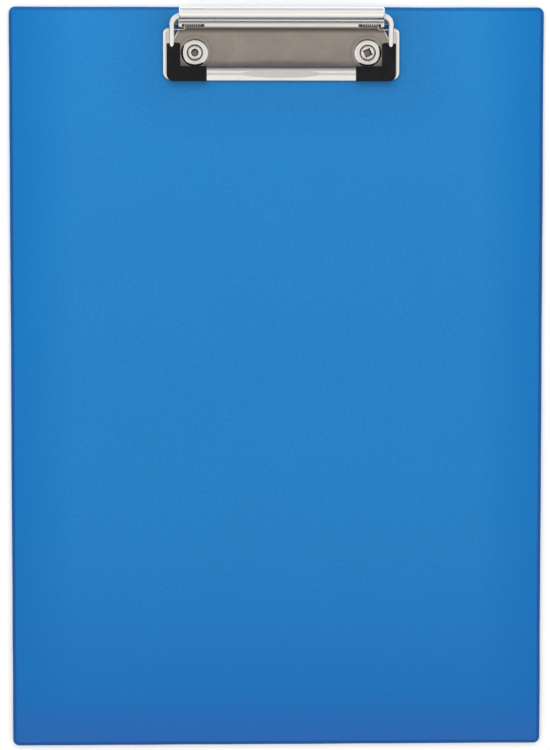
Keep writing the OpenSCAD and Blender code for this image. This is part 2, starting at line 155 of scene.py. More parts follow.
class ClipboardGripSettings(bpy.types.PropertyGroup):
    tint: colour("Plastic colour", "Colour of the corner grips", (0.006, 0.006, 0.007))
    sheen: share("Sheen", "Specular level of the corner grips", 0.13)


class ClipboardStageSettings(bpy.types.PropertyGroup):
    distance: length("Distance", "Distance from the camera to the board", 1.2)
    tilt: angle("Tilt", "Camera's lean towards the clip", 3.73)
    yaw: angle("Yaw", "Camera's lean to the left", 1.67)
    aim_x: length("Aim X", "Where the view's middle meets the board, across", -0.81 * MM, -1.0)
    aim_y: length("Aim Y", "Where the view's middle meets the board, along", 1.5 * MM, -1.0)
    lens: FloatProperty(name="Lens", description="Focal length for a 36 mm long side", default=132.87, min=1.0)
    floor: colour("Floor", "Colour of the floor", (0.93, 0.93, 0.93))
    floor_half: length("Floor half size", "Half the length of the floor's sides", 3.0)
    floor_glow: share("Floor glow", "What the floor adds of its own, to the camera and in the metal", 0.1)
    lamp: FloatProperty(name="Lamp", description="Power of the lamp behind the clip, in watts", default=1.6,
                        min=0.0)
    dome: share("Dome", "Level of the white tent round the board", 1.04, 4.0)
    overhead: colour("Overhead", "Colour of the gap in the tent over the camera", (0.68, 0.67, 0.66))
    gap_full: angle("Gap", "Angle off the upright within which the gap is full", 9)
    gap_edge: angle("Gap's edge", "Angle off the upright where the gap ends", 21)
    far_wall: colour("Far wall", "Colour of the tent's wall behind the clip", (0.46, 0.50, 0.63))
    wall_edge: angle("Wall's edge", "Angle towards the clip's end where the wall begins", 31)
    wall_full: angle("Wall", "Angle towards the clip's end from which the wall is full", 58)


SETTINGS = {
    "clipboard_cover": ClipboardCoverSettings,
    "clipboard_metal": ClipboardMetalSettings,
    "clipboard_grip": ClipboardGripSettings,
    "clipboard_stage": ClipboardStageSettings,
}


# ---- nodes

def add(tree, kind, **values):
    """One node, with its own settings."""
    node = tree.nodes.new(kind)
    for name, value in values.items():
        setattr(node, name, value)
    return node


def feed(tree, node, **links):
    """Links or sets a node's inputs, by name (an underscore stands for a blank) or by number (_0, _1)."""
    for name, value in links.items():
        key = int(name[1:]) if name[0] == "_" else name.replace("_", " ")
        socket = node.inputs[key]
        if isinstance(value, bpy.types.NodeSocket):
            tree.links.new(value, socket)
        else:
            socket.default_value = value


def texture(tree, vector, scale, kind="ShaderNodeTexNoise", **values):
    """A texture's first output; its scale is per metre, its settings and inputs are given by name."""
    node = tree.nodes.new(kind)
    for name, value in values.items():
        if hasattr(node, name):
            setattr(node, name, value)
        else:
            node.inputs[name.replace("_", " ")].default_value = value
    feed(tree, node, Scale=scale, Vector=vector)
    return node.outputs[0]


def stretched(tree, vector, scale, turn=0.0):
    """A vector scaled along its axes and turned about the third, so that a texture comes out as streaks."""
    node = add(tree, "ShaderNodeMapping")
    feed(tree, node, Vector=vector, Scale=scale, Rotation=(0.0, 0.0, turn))
    return node.outputs[0]


def remap(tree, value, low, high, to_low, to_high):
    """What runs from low to high made to run from to_low to to_high, and held there outside."""
    node = add(tree, "ShaderNodeMapRange")
    feed(tree, node, Value=value, _1=low, _2=high, _3=to_low, _4=to_high)
    return node.outputs[0]


def fade(tree, value, start, full, level=1.0):
    """0 at the start, rising evenly to its level at full, which may lie on either side of the start."""
    return remap(tree, value, start, full, 0.0, level)


def mix_colour(tree, factor, first, second, blend="MIX"):
    """The first colour at factor 0, the second at 1."""
    node = add(tree, "ShaderNodeMix", data_type="RGBA", blend_type=blend)
    feed(tree, node, _0=factor, _6=first, _7=second)
    return node.outputs[2]


def maths(tree, operation, first, second=0.0):
    """One calculation; what takes a single value leaves the second out."""
    node = add(tree, "ShaderNodeMath", operation=operation)
    feed(tree, node, _0=first, _1=second)
    return node.outputs[0]


def bump(tree, height, depth, below=None):
    """A normal for a height of so many metres, on top of the one below."""
    node = add(tree, "ShaderNodeBump")
    feed(tree, node, Height=height, Distance=depth, Strength=1.0)
    if below is not None:
        feed(tree, node, Normal=below)
    return node.outputs[0]


def parted(tree, vector):
    """A vector's X, Y and Z."""
    node = add(tree, "ShaderNodeSeparateXYZ")
    feed(tree, node, Vector=vector)
    return node.outputs


def gap(tree, value, middle):
    """Distance of a value from the middle."""
    return maths(tree, "ABSOLUTE", maths(tree, "SUBTRACT", value, middle))


def flat_length(tree, across, along):
    """Length of a way across and along the face."""
    way = add(tree, "ShaderNodeCombineXYZ")
    feed(tree, way, X=across, Y=along)
    size = add(tree, "ShaderNodeVectorMath", operation="LENGTH")
    feed(tree, size, _0=way.outputs[0])
    return size.outputs["Value"]


def rgba(values, level=1.0):
    """A colour at a level, as a socket takes it."""
    return (*[level * value for value in values], 1.0)


def new_material(name):
    """A material with its tree, its shader and the place on the piece."""
    material = bpy.data.materials.new(name)
    material.use_nodes = True
    tree = material.node_tree
    shader = tree.nodes["Principled BSDF"]
    place = tree.nodes.new("ShaderNodeTexCoord").outputs["Object"]
    return material, tree, shader, place


# ---- finishes

def from_clip(tree, spot):
    """Distance across the face from the clip's outline, 0 under the clip."""
    lo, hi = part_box("lever_jaw")
    past = []
    for axis, low, high in (("X", lo.x, hi.x), ("Y", lo.y, hi.y)):
        off = gap(tree, spot[axis], (low + high) / 2)
        past.append(maths(tree, "MAXIMUM", maths(tree, "SUBTRACT", off, (high - low) / 2), 0.0))
    return flat_length(tree, *past)


def rivet_axes():
    """The middles of the left and the right rivet."""
    return [(lo + hi) / 2 for lo, hi in (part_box("rivet_" + side) for side in SIDES)]


def from_rivet(tree, spot):
    """Distance across the face from the nearer rivet's axis."""
    left, right = rivet_axes()
    across = gap(tree, spot["X"], (left.x + right.x) / 2)
    return flat_length(tree, maths(tree, "SUBTRACT", across, (right.x - left.x) / 2),
                       maths(tree, "SUBTRACT", spot["Y"], left.y))


# Scales are those of noise textures, per metre; levels are against a piece's own colour
CLOUD_SCALE, MOTTLE_SCALE, HAIR_SCALE = 22.0, 700.0, 5200.0
CLOUD_LEVELS = (0.94, 1.05)
MOTTLE_LEVEL = 0.84
HEAD_LIGHT_GAIN, HEAD_LIGHT_SHARE = (1.6, 1.07, 1.05), 0.8   # painted light: the sheet is painted lighter towards the clip
FOOT_START, FOOT_POWER = -20 * MM, 2.1           # and painted shade: darker towards the foot, slowly at first
# share of the painted shade along the lower edge
HEM_SHARE = 0.9
LIT_TOP_EDGE, LIT_TOP_LEVEL = 4 * MM, 0.4          # painted light: the weld's darker colour is painted paler along the top edge
WELD_GLOSS, WELD_SMOOTHING = 0.16, 0.8           # the weld's lower roughness and its flattened pips
PIP_DEPTH, HAIR_DEPTH = 0.05 * MM, 0.006 * MM


def sheet_finish(settings):
    """Embossed plastic sheet: fine pips, faint clouds, and a darker, smoother weld. Its colour has painted light
    and
    shade: lighter towards the clip, darker towards the foot and sides, a painted shadow on the front round the
    clip."""
    material, tree, shader, place = new_material("blue_sheet_finish")
    spot = parted(tree, place)
    along, across = spot["Y"], maths(tree, "ABSOLUTE", spot["X"])
    weld = add(tree, "ShaderNodeAttribute", attribute_name="weld").outputs["Fac"]
    clouds = texture(tree, place, CLOUD_SCALE, Detail=5.0, Roughness=0.6)
    mottle = texture(tree, place, MOTTLE_SCALE, Detail=2.0, Roughness=0.6)
    pips = texture(tree, place, 1.0 / settings.grain, "ShaderNodeTexVoronoi", feature="SMOOTH_F1",
                   Smoothness=0.35, Randomness=0.9)
    hair = texture(tree, place, HAIR_SCALE, Detail=2.0)

    dark, light = [rgba(settings.tint, level) for level in CLOUD_LEVELS]
    base = mix_colour(tree, clouds, dark, light)
    base = mix_colour(tree, fade(tree, mottle, 0.3, 0.7, 0.6), base, rgba(settings.tint, MOTTLE_LEVEL))
    # painted light: lighter towards the clip, where the light comes from
    lighter = mix_colour(tree, 1.0, base, rgba(HEAD_LIGHT_GAIN), "MULTIPLY")
    base = mix_colour(tree, fade(tree, along, 0.0, BOARD_HI.y, HEAD_LIGHT_SHARE), base, lighter)
    # painted shade towards the left and right edges
    margin = fade(tree, across, BOARD_HI.x - settings.side_zone, BOARD_HI.x - settings.side_full)
    # painted shade towards the foot
    foot = maths(tree, "POWER", fade(tree, along, FOOT_START, BOARD_LO.y), FOOT_POWER)
    # painted shade along the lower edge
    hem = fade(tree, along, BOARD_LO.y + settings.hem_zone, BOARD_LO.y, HEM_SHARE)
    # painted shadow of the clip on the front sheet
    front = maths(tree, "GREATER_THAN", spot["Z"], SEAM_Z)
    clip_shadow_mask = maths(tree, "MULTIPLY", front,
                   fade(tree, from_clip(tree, spot), settings.clip_shadow_zone, 0.0, settings.clip_shadow))
    # the weld's own darker colour, painted paler along the top edge as painted light
    weld_darkening = maths(tree, "MULTIPLY", weld,
                   remap(tree, along, BOARD_HI.y - LIT_TOP_EDGE, BOARD_HI.y, 1.0, LIT_TOP_LEVEL))
    for amount, tint in ((margin, settings.side_shade), (foot, settings.foot_shade), (hem, settings.hem_shade),
                         (clip_shadow_mask, (0.0, 0.0, 0.0)), (weld_darkening, settings.weld_tint)):
        base = mix_colour(tree, amount, base, rgba(tint))

    rough = maths(tree, "SUBTRACT", remap(tree, mottle, 0.3, 0.7, 0.46, 0.56),
                  maths(tree, "MULTIPLY", weld, WELD_GLOSS))
    embossing = maths(tree, "SUBTRACT", 1.0, maths(tree, "MULTIPLY", weld, WELD_SMOOTHING))
    normal = bump(tree, maths(tree, "MULTIPLY", pips, embossing), PIP_DEPTH)
    feed(tree, shader, Base_Color=base, Roughness=rough, Specular_IOR_Level=settings.sheen,
         Normal=bump(tree, hair, HAIR_DEPTH, normal))
    return material


SMUDGE_SCALE, SPECK_SCALE, RIPPLE_SCALE, LINE_SCALE = 95.0, 1400.0, 75.0, 160.0
SMUDGE_LEVEL = 0.88
POLISH_SPREAD = (0.7, 1.5)      # roughness of the cleanest and the most smudged spots, against the polish
SPECK_ROUGHNESS = 0.05
LINE_DEPTH = 0.0012 * MM


def nickel_finish(settings, name, wear_and_shade, rough=1.0, ripple_depth=0.02 * MM):
    """Bright nickel plate on pressed steel: blunt edges, a rolled ripple, draw lines, and smudges of handling.
    the function passed in gives what is special to one piece, from the polished colour: (colour, share of painted
    shade, of rubbing)."""
    material, tree, shader, place = new_material(name)
    polish = settings.polish * rough
    smudge = texture(tree, place, SMUDGE_SCALE, Detail=6.0, Roughness=0.62, Distortion=0.4)
    speck = texture(tree, place, SPECK_SCALE, Detail=3.0)
    ripple = texture(tree, stretched(tree, place, (0.35, 1.0, 1.0), 0.12), RIPPLE_SCALE, Detail=2.0)
    lines = texture(tree, stretched(tree, place, (1.0, 40.0, 40.0)), LINE_SCALE, Detail=4.0)
    base = mix_colour(tree, fade(tree, smudge, 0.42, 0.72, 0.55), rgba(settings.nickel),
                      rgba(settings.nickel, SMUDGE_LEVEL))
    smoothest, roughest = [polish * level for level in POLISH_SPREAD]
    roughness = maths(tree, "ADD", remap(tree, smudge, 0.35, 0.7, smoothest, roughest),
                      fade(tree, speck, 0.55, 0.8, SPECK_ROUGHNESS))
    base, painted_shade, rubbing = wear_and_shade(tree, settings, place, parted(tree, place), base)
    # painted shade mixed into the nickel
    base = mix_colour(tree, painted_shade, base, rgba(settings.painted_shade))
    roughness = maths(tree, "ADD", roughness, maths(tree, "MULTIPLY", rubbing, settings.rubbed - polish))
    edge = add(tree, "ShaderNodeBevel", samples=6)
    feed(tree, edge, Radius=settings.blunt)
    normal = bump(tree, ripple, ripple_depth, edge.outputs[0])
    feed(tree, shader, Base_Color=base, Roughness=roughness, Metallic=1.0,
         Normal=bump(tree, lines, LINE_DEPTH, normal))
    return material


WAVER_SCALE = 130.0
WAVER = 4.5 * MM                                # how far the border of the painted shade wanders
EDGE_SHADE_FROM, EDGE_SHADE_TO = -1.2 * MM, 0.9 * MM      # where the painted shade along the front edge is full and where it ends, past the front edge
EDGE_SHADE_LEVEL = 0.5
FRONT_LEVEL, FRONT_ZONE = 0.88, 9 * MM          # painted shade: the flat darkens a little towards its front edge
RISE_FROM, RISE_TO = 0.03 * MM, 0.3 * MM        # height over the flat from which a form is polished
SEAM_AHEAD = 0.45 * MM                          # from the barrel's front to the middle of its seam
UP_BARREL, ONTO_PLATE = 0.5 * MM, 1.6 * MM      # painted shade ends so far before the hinge axis, so far from the seam
REAR_FROM, REAR_TO = 0.45 * MM, 0.05 * MM       # and so far from the barrel's rear it begins and is full
BARREL_SHADE, PLATE_SHADE, REAR_SHADE, RING_SHADE = 0.9, 0.85, 0.85, 0.45
RING_SHADE_WIDTH = 0.7 * MM


def plate_dullness_and_shade(tree, settings, place, spot, base):
    """The base plate: a duller rolled flat, darker still as painted reflection, painted shade along its front
    edge, in the seams before and behind the barrel, and in a ring round each rivet."""
    top, front, along = FACE_Z + settings.plate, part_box("clip_base_plate")[0].y, spot["Y"]
    waver = texture(tree, stretched(tree, place, (0.25, 1.0, 1.0)), WAVER_SCALE, Detail=3.0)
    inwards = maths(tree, "ADD", along, maths(tree, "MULTIPLY", waver, -WAVER))
    # painted shade along the plate's front edge, by the gap to the jaw
    unshaded = fade(tree, inwards, front + EDGE_SHADE_FROM, front + EDGE_SHADE_TO)
    # the flat's darker colour is partly a duller finish, partly painted reflection
    flat = mix_colour(tree, fade(tree, along, front, front + FRONT_ZONE),
                      rgba(settings.dull_nickel_and_shade, FRONT_LEVEL), rgba(settings.dull_nickel_and_shade))
    flat = mix_colour(tree, unshaded, rgba(settings.dull_nickel_and_shade, EDGE_SHADE_LEVEL), flat)
    raised = fade(tree, spot["Z"], top + RISE_FROM, top + RISE_TO)
    base = mix_colour(tree, raised, flat, base)

    # painted shade in the seam before the barrel and on the barrel's rear
    seam, rear = HINGE.y - settings.barrel - SEAM_AHEAD, HINGE.y + settings.barrel
    onto_barrel = fade(tree, along, HINGE.y - UP_BARREL, seam, BARREL_SHADE)
    onto_plate = fade(tree, along, seam - ONTO_PLATE, seam, PLATE_SHADE)
    behind = fade(tree, along, rear - REAR_FROM, rear - REAR_TO, REAR_SHADE)
    # painted shadow: a dark ring round each rivet's boss
    ring = gap(tree, from_rivet(tree, spot), settings.mark)
    mark = maths(tree, "MULTIPLY", fade(tree, ring, RING_SHADE_WIDTH, 0.0, RING_SHADE), waver)
    painted_shade = maths(tree, "MAXIMUM", maths(tree, "MINIMUM", onto_barrel, onto_plate),
                  maths(tree, "MAXIMUM", mark, behind))
    return base, painted_shade, 0.0


BAR_SHADE, BAR_HIGHLIGHT_LEVEL = 0.7, 1.16
BAR_FRONT = 0.35                # share of the bar's radius before its axis where the painted shade begins
JUST_OVER = 1.01                # so that the bar's own surface counts as on it
BAR_SLACK = 0.01 * MM           # and its end faces too


def lever_rub_and_painted_light(tree, settings, place, spot, base):
    """The lever: its thumb bar, rubbed rough by hands, has a painted highlight and painted shade towards the
    barrel.
    """
    top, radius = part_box("lever_jaw")[1], settings.bar
    axis_y, axis_z = top.y - radius, top.z - radius
    across = gap(tree, spot["X"], sum(axis.x for axis in rivet_axes()) / 2)
    on_bar = maths(tree, "MULTIPLY", maths(tree, "LESS_THAN", across, settings.bar_half + BAR_SLACK),
                   maths(tree, "GREATER_THAN", spot["Y"], axis_y - JUST_OVER * radius))
    on_bar = maths(tree, "MULTIPLY", on_bar,
                   maths(tree, "GREATER_THAN", spot["Z"], axis_z - JUST_OVER * radius))
    painted_shade = fade(tree, spot["Y"], axis_y - BAR_FRONT * radius, axis_y - radius, BAR_SHADE)
    # painted highlight: the bar's colour is painted brighter than the nickel
    bright = mix_colour(tree, on_bar, base, rgba(settings.nickel, BAR_HIGHLIGHT_LEVEL))
    return bright, maths(tree, "MULTIPLY", painted_shade, on_bar), on_bar


BORE_SHADE, BORE_BORDER = 0.8, 0.3 * MM
BORE_SLACK = 0.1 * MM           # the bore's bottom gets the painted shade too


def rivet_bore_shade(tree, settings, place, spot, base):
    """The rivets: painted shade in their bores."""
    inside = fade(tree, from_rivet(tree, spot), settings.bore + BORE_BORDER, settings.bore, BORE_SHADE)
    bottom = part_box("rivet_left")[0].z + settings.head
    above = maths(tree, "GREATER_THAN", spot["Z"], bottom - BORE_SLACK)
    return base, maths(tree, "MULTIPLY", inside, above), 0.0


SCORE_SCALE, FILM_SCALE = 3000.0, 380.0
FILM_LEVEL = 0.62
SCORE_DEPTH = 0.004 * MM


def wire_finish(settings, name, painted_light_level):
    """Drawn steel wire: lengthwise scores and a slight oil film, its colour scaled by a level of painted light
    and shade.
    """
    material, tree, shader, place = new_material(name)
    scores = texture(tree, stretched(tree, place, (0.2, 1.0, 1.0)), SCORE_SCALE, Detail=3.0)
    film = texture(tree, place, FILM_SCALE, Detail=4.0)
    base = mix_colour(tree, fade(tree, film, 0.4, 0.7, 0.7), rgba(settings.wire, painted_light_level),
                      rgba(settings.wire, FILM_LEVEL * painted_light_level))
    feed(tree, shader, Base_Color=base, Roughness=remap(tree, film, 0.3, 0.7, 0.22, 0.42), Metallic=1.0,
         Normal=bump(tree, scores, SCORE_DEPTH))
    return material


SPARK_SCALE, RUBBED_SCALE = 4200.0, 240.0
RUBBED_LEVEL = 1.9
SPARK_DEPTH = 0.012 * MM


def plastic_finish(settings):
    """Satin moulded plastic: spark-eroded grain, rubbed a little smoother in patches."""
    material, tree, shader, place = new_material("black_plastic_finish")
    grain = texture(tree, place, SPARK_SCALE, Detail=3.0)
    rubbed = texture(tree, place, RUBBED_SCALE, Detail=3.0)
    base = mix_colour(tree, fade(tree, rubbed, 0.4, 0.7, 0.8), rgba(settings.tint),
                      rgba(settings.tint, RUBBED_LEVEL))
    feed(tree, shader, Base_Color=base, Roughness=remap(tree, rubbed, 0.35, 0.7, 0.46, 0.32),
         Specular_IOR_Level=settings.sheen, Normal=bump(tree, grain, SPARK_DEPTH))
    return material


FIBRE_SCALE, FLECK_SCALE = 900.0, 2600.0
FIBRE_DARK, FIBRE_LIGHT, FLECK = (0.45, 0.43, 0.40), (0.56, 0.54, 0.51), (0.22, 0.21, 0.2)
FIBRE_DEPTH = 0.05 * MM


def board_finish():
    """Grey board: flecked, pressed fibres."""
    material, tree, shader, place = new_material("grey_board_finish")
    fibre = texture(tree, place, FIBRE_SCALE, Detail=6.0, Roughness=0.7)
    fleck = texture(tree, place, FLECK_SCALE, Detail=2.0)
    base = mix_colour(tree, fade(tree, fibre, 0.3, 0.7), rgba(FIBRE_DARK), rgba(FIBRE_LIGHT))
    base = mix_colour(tree, fade(tree, fleck, 0.68, 0.75, 0.7), base, rgba(FLECK))
    feed(tree, shader, Base_Color=base, Roughness=0.9, Normal=bump(tree, fibre, FIBRE_DEPTH))
    return material


# ---- pieces

WELD_WITHIN = 0.001 * MM        # points closer than this become one
SHARP_FROM = math.radians(38)   # angle between faces from which an edge stays sharp


def dress(node, material):
    """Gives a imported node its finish."""
    mesh = frame["nodes"][node].data
    mesh.materials.clear()
    mesh.materials.append(material)


def finish_piece(piece, body, slot, *nodes):
    """Puts a new piece in the scene on its body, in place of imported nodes."""
    bpy.context.scene.collection.objects.link(piece)
    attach(piece, body)
    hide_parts(*nodes)


def plain_mesh(name, shell, material):
    """A closed bmesh as an object: doubles merged, faces outward, smooth but for its sharp edges."""
    bmesh.ops.remove_doubles(shell, verts=shell.verts, dist=WELD_WITHIN)
    bmesh.ops.recalc_face_normals(shell, faces=shell.faces)
    mesh = bpy.data.meshes.new(name)
    shell.to_mesh(mesh)
    shell.free()
    mesh.materials.clear()
    mesh.materials.append(material)
    mesh.polygons.foreach_set("use_smooth", [True] * len(mesh.polygons))
    mesh.set_sharp_from_angle(angle=SHARP_FROM)
    return bpy.data.objects.new(name, mesh)


def bridge(shell, first, second):
    """Faces between two rings of as many points."""
    for i in range(len(first)):
        shell.faces.new((first[i - 1], first[i], second[i], second[i - 1]))


def fill(shell, loops):
    """Flat faces inside the first loop and outside the others."""
    edges = []
    for loop in loops:
        for i in range(len(loop)):
            edges.append(shell.edges.get((loop[i - 1], loop[i])))
    bmesh.ops.triangle_fill(shell, use_beauty=True, edges=edges, normal=(0.0, 0.0, 1.0))


# ---- covers

# Points along a long and a short side, round a corner and round a hole, and rings up the slope
STEPS_LONG, STEPS_SHORT, STEPS_CORNER, STEPS_HOLE, STEPS_SLOPE = 90, 66, 10, 48, 10
SLOPE_CURVE = 0.8               # below 1 the slope is steeper at the weld than at the face
SWAY_SCALE, SWAY_SEED = 38, 2.0
LIFT_SCALE, LIFT_SEED = 26, 9.0
SMALLEST_CORNER = 0.15 * MM
PARALLEL = 1e-6                 # a direction with a part smaller than this runs along an axis


def outline(corner):
    """Points round the board's outline, as (centre of curvature, outward direction), anticlockwise."""
    half = BOARD_HI.xy
    quarters = [(1, -1, STEPS_LONG), (1, 1, STEPS_SHORT), (-1, 1, STEPS_LONG), (-1, -1, STEPS_SHORT)]
    centres = [Vector((sx * (half.x - corner), sy * (half.y - corner))) for sx, sy, _ in quarters]
    points = []
    for index, (_, _, steps) in enumerate(quarters):
        start = 90 * (index - 1)
        for i in range(STEPS_CORNER + 1):
            turn = math.radians(start + 90 * i / STEPS_CORNER)
            points.append((centres[index], Vector((math.cos(turn), math.sin(turn)))))
        out = points[-1][1]
        for i in range(1, steps):
            points.append((centres[index].lerp(centres[(index + 1) % 4], i / steps), out))
    return points


def cover_profile(settings):
    """Stations from the trimmed edge inwards, as (inset, height over the seam, share of weld): those of the
    sheet's outside, then those of its inside."""
    s, w, g = settings.sheet, settings.weld, settings.groove
    b = w + settings.slope
    top = FACE_Z - SEAM_Z
    trimmed = [(0.0, 0.0, 1.0), (0.0, 0.62 * s, 1.0), (0.06 * MM, 0.86 * s, 0.9), (0.16 * MM, s, 0.7)]
    welded = [(0.32 * w, s + 0.02 * MM, 0.5), (0.46 * w, s - 0.3 * g, 0.9), (0.6 * w, s - g, 1.0),
              (0.86 * w, s - g, 1.0), (w, s - 0.4 * g, 0.9)]
    slope = []
    for i in range(1, STEPS_SLOPE):
        t = i / STEPS_SLOPE
        rise = (math.sin(math.pi * (t - 0.5)) * 0.5 + 0.5) ** SLOPE_CURVE
        slope.append((w + (b - w) * t, s + (top - s) * rise, max(0.0, 0.5 - t)))
    face = [(b, top - 0.004 * MM, 0.0), (b + 0.4 * MM, top, 0.0)]
    inside = [(b + 0.4 * MM, top - s, 0.0), (b + 0.05 * MM, top - s, 0.0), (w + s / 2, 0.0, 0.0)]
    return trimmed + welded + slope + face, inside


def edge_ring(shell, settings, side, inset, height, share_of_weld):
    """One ring of points round the sheet; the weld's outer part wanders and waves a little."""
    weld = shell.verts.layers.float["weld"]
    fade = max(0.0, 1 - inset / (settings.weld + settings.slope))
    radius = max(settings.corner - inset, SMALLEST_CORNER)
    shift = radius - (settings.corner - inset)
    ring = []
    for centre, out in outline(settings.corner):
        edge = centre + out * settings.corner
        wander = 0.5 + 0.5 * noise.noise(Vector((edge.x * SWAY_SCALE, edge.y * SWAY_SCALE, SWAY_SEED)))
        wave = noise.noise(Vector((edge.x * LIFT_SCALE, edge.y * LIFT_SCALE, LIFT_SEED)))
        inwards = Vector((-math.copysign(shift, centre.x), -math.copysign(shift, centre.y)))
        if abs(out.x) < PARALLEL or abs(out.y) < PARALLEL:
            inwards = Vector((inwards.x if abs(out.x) > 0.5 else 0.0, inwards.y if abs(out.y) > 0.5 else 0.0))
        spot = centre + out * (radius - settings.sway * wander * fade) + inwards
        point = shell.verts.new((spot.x, spot.y, SEAM_Z + settings.lift * wave * fade + side * height))
        point[weld] = share_of_weld
        ring.append(point)
    return ring


def hole_rings(shell, centre, stations):
    """Rings round a rivet's axis from one face of a sheet through to the other."""
    rings = []
    for radius, z in stations:
        turns = [math.tau * i / STEPS_HOLE for i in range(STEPS_HOLE)]
        rings.append([shell.verts.new((centre.x + radius * math.cos(a), centre.y + radius * math.sin(a), z))
                      for a in turns])
    for first, second in zip(rings, rings[1:]):
        bridge(shell, first, second)
    return rings


def cover_sheet(name, settings, material, side, hole):
    """One cover sheet as a closed shell: edge, weld and slope round its face, and a hole at each rivet."""
    shell = bmesh.new()
    shell.verts.layers.float.new("weld")
    outside, inside = [[edge_ring(shell, settings, side, *station) for station in part]
                       for part in cover_profile(settings)]
    for part in (outside, inside, (inside[-1], outside[0])):
        for first, second in zip(part, part[1:]):
            bridge(shell, first, second)
    holes = [hole_rings(shell, axis, hole) for axis in rivet_axes()]
    fill(shell, [outside[-1]] + [rings[0] for rings in holes])
    fill(shell, [inside[0]] + [rings[-1] for rings in holes])
    return plain_mesh(name, shell, material)


class CLIPBOARD_OT_cover_sheets(bpy.types.Operator):
    """Two welded plastic sheets round the grey-board core"""
    bl_idname = "clipboard.cover_sheets"
    bl_label = "Cover sheets"

    def execute(self, context):
        settings = context.scene.clipboard_cover
        finish = sheet_finish(settings)
        s, shank, dimple = settings.sheet, settings.shank_hole, settings.dimple
        lip = 0.25 * MM                      # the sheet rounds over into its dimples
        foot, floor = BOARD_LO.z, BOARD_LO.z + settings.dimple_depth
        punched = [(shank, FACE_Z), (shank, FACE_Z - s)]
        dimpled = [(dimple + lip, foot), (dimple + 0.3 * lip, foot + 0.1 * lip), (dimple, foot + 0.5 * lip),
                   (dimple, floor), (shank, floor), (shank, floor + s), (dimple + s, floor + s),
                   (dimple + s, foot + s)]
        front = cover_sheet("front_sheet", settings, finish, 1, punched)
        finish_piece(front, "board", "blue_sheet", "front_cover")
        back = cover_sheet("back_sheet", settings, finish, -1, dimpled)
        finish_piece(back, "board", "blue_sheet", "back_cover")
        dress("core_board", board_finish())
        return {"FINISHED"}


# ---- Geometry Nodes

NOTCH_SHARPNESS = 3.0           # power of the cosine wave that makes the notches between petals
NOTCH_DROP = 0.7                # how far a notch goes down, against how far it goes outwards


def new_tree(name, **inputs):
    """A node tree with a guide line coming in, a solid going out, and named inputs."""
    tree = bpy.data.node_groups.new(name, "GeometryNodeTree")
    tree.interface.new_socket("Solid", in_out="OUTPUT", socket_type="NodeSocketGeometry")
    tree.interface.new_socket("Guide line", in_out="INPUT", socket_type="NodeSocketGeometry")
    for key, kind in inputs.items():
        tree.interface.new_socket(key.replace("_", " "), in_out="INPUT", socket_type="NodeSocket" + kind)
    return tree, add(tree, "NodeGroupInput").outputs


def close_tree(tree, solid, given):
    """Ends a tree with one smooth mesh, without instances, in its finish."""
    whole = add(tree, "GeometryNodeRealizeInstances")
    feed(tree, whole, Geometry=solid)
    smooth = add(tree, "GeometryNodeSetShadeSmooth")
    feed(tree, smooth, Geometry=whole.outputs[0])
    finished = add(tree, "GeometryNodeSetMaterial")
    feed(tree, finished, Geometry=smooth.outputs[0], Material=given["Finish"])
    feed(tree, add(tree, "NodeGroupOutput"), Solid=finished.outputs[0])
    return tree


def grow(name, line, tree, marks=None, **values):
    """Runs a tree on a guide line and keeps what it makes as a plain mesh."""
    guide = bpy.data.meshes.new(name + "_guide")
    guide.from_pydata(line, [(i, i + 1) for i in range(len(line) - 1)], [])
    if marks:
        guide.attributes.new("petal", "FLOAT", "POINT").data.foreach_set("value", marks)
    maker = bpy.data.objects.new(name + "_guide", guide)
    bpy.context.scene.collection.objects.link(maker)
    modifier = maker.modifiers.new("form", "NODES")
    modifier.node_group = tree
    for item in tree.interface.items_tree:
        key = item.name.replace(" ", "_")
        if item.in_out == "INPUT" and key in values:
            modifier[item.identifier] = values[key]
    bpy.context.view_layer.update()
    depsgraph = bpy.context.evaluated_depsgraph_get()
    grown = bpy.data.meshes.new_from_object(maker.evaluated_get(depsgraph), depsgraph=depsgraph)
    bpy.data.objects.remove(maker)
    shell = bmesh.new()
    shell.from_mesh(grown)
    return plain_mesh(name, shell, values["Finish"])


